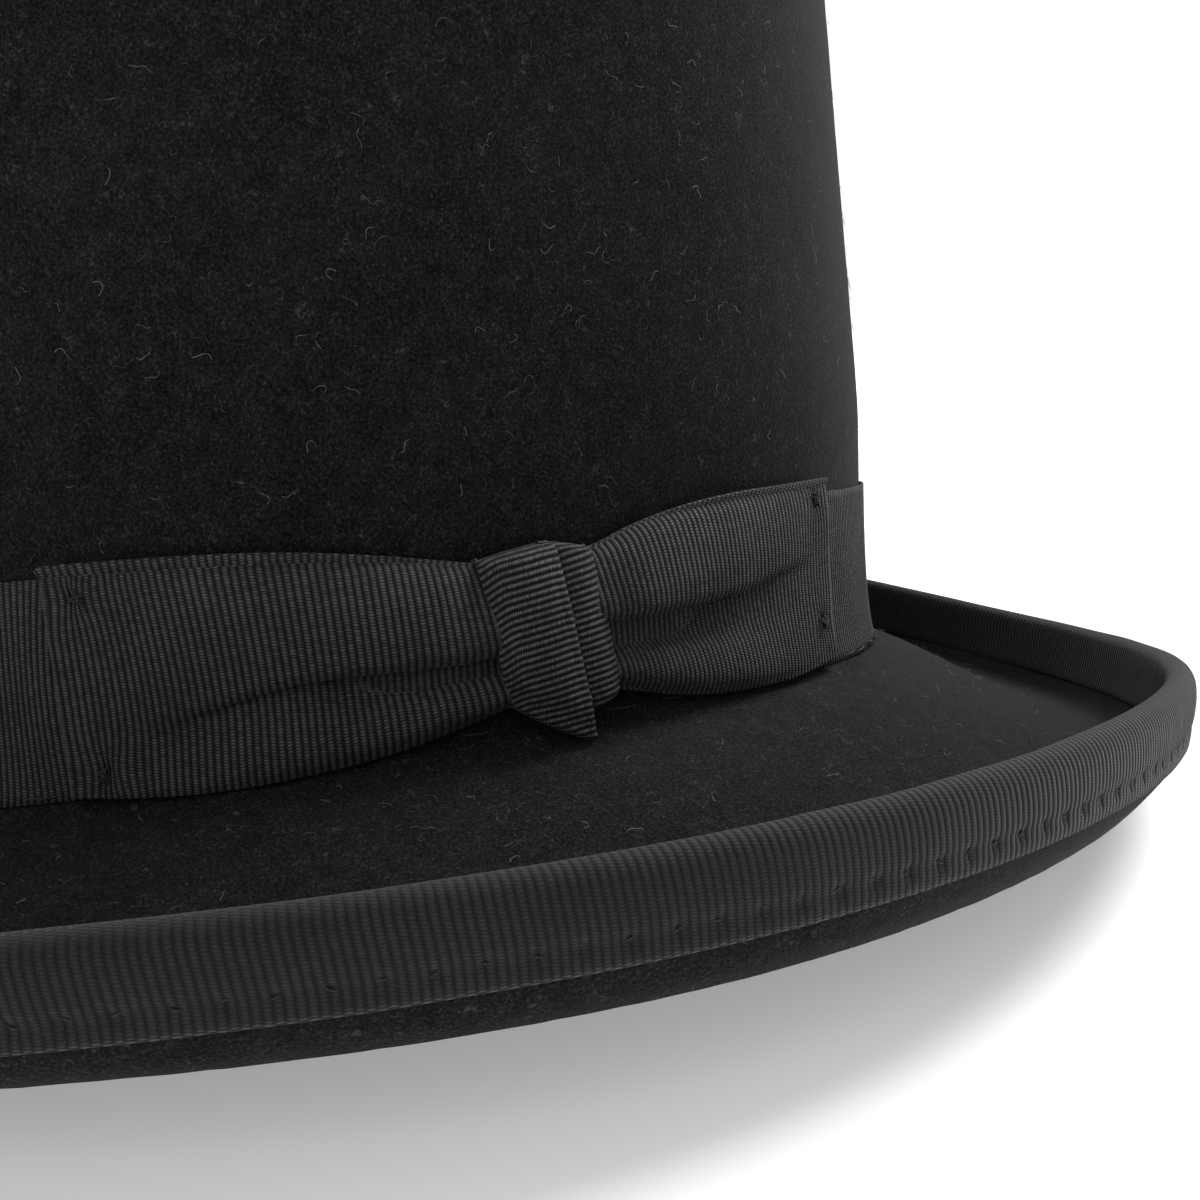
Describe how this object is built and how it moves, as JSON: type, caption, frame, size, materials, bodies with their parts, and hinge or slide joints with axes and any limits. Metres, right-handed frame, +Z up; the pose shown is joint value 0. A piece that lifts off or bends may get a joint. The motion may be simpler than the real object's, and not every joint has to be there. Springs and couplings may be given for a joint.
{
  "type": "top hat",
  "caption": "Felt top hat with a rolled, ribbon-bound brim, a ribbon band with a flat side bow, a leather sweatband and a satin lining.",
  "frame": {"origin": "centre of the hat's outline, on the surface that the brim stands on", "axes": "+Z up through the crown's tip, -Y towards the hat's front, +X towards the wearer's left, where the bow is"},
  "size_m": [0.3018, 0.329, 0.166],
  "materials": {
    "felt": "black wool felt with a short, brushed nap",
    "binding_ribbon": "black grosgrain ribbon, ribs across the rim",
    "band_ribbon": "black grosgrain ribbon, fine ribs",
    "thread": "black sewing thread",
    "satin": "black satin lining",
    "leather": "smooth black-brown leather",
    "reed": "plain reed cord",
    "tape": "thin cotton tape",
    "inner_ribbon": "narrow black ribbon"
  },
  "bodies": {
    "root": {"felt_body": "felt", "brim_binding": "binding_ribbon", "binding_thread": "thread", "hat_band": "band_ribbon", "band_thread": "thread", "bow_loop": "band_ribbon", "bow_knot": "band_ribbon", "bow_tack_front_bottom": "thread", "bow_tack_front_top": "thread", "bow_tack_back_bottom": "thread", "bow_tack_back_top": "thread", "lining_side": "satin", "lining_tip": "satin", "sweatband": "leather", "sweatband_reed": "reed", "reed_tape": "tape", "sweatband_thread": "thread", "sweatband_seam_patch": "leather", "sweatband_bow": "inner_ribbon", "sweatband_bow_knot": "inner_ribbon"}
  },
  "joints": []
}
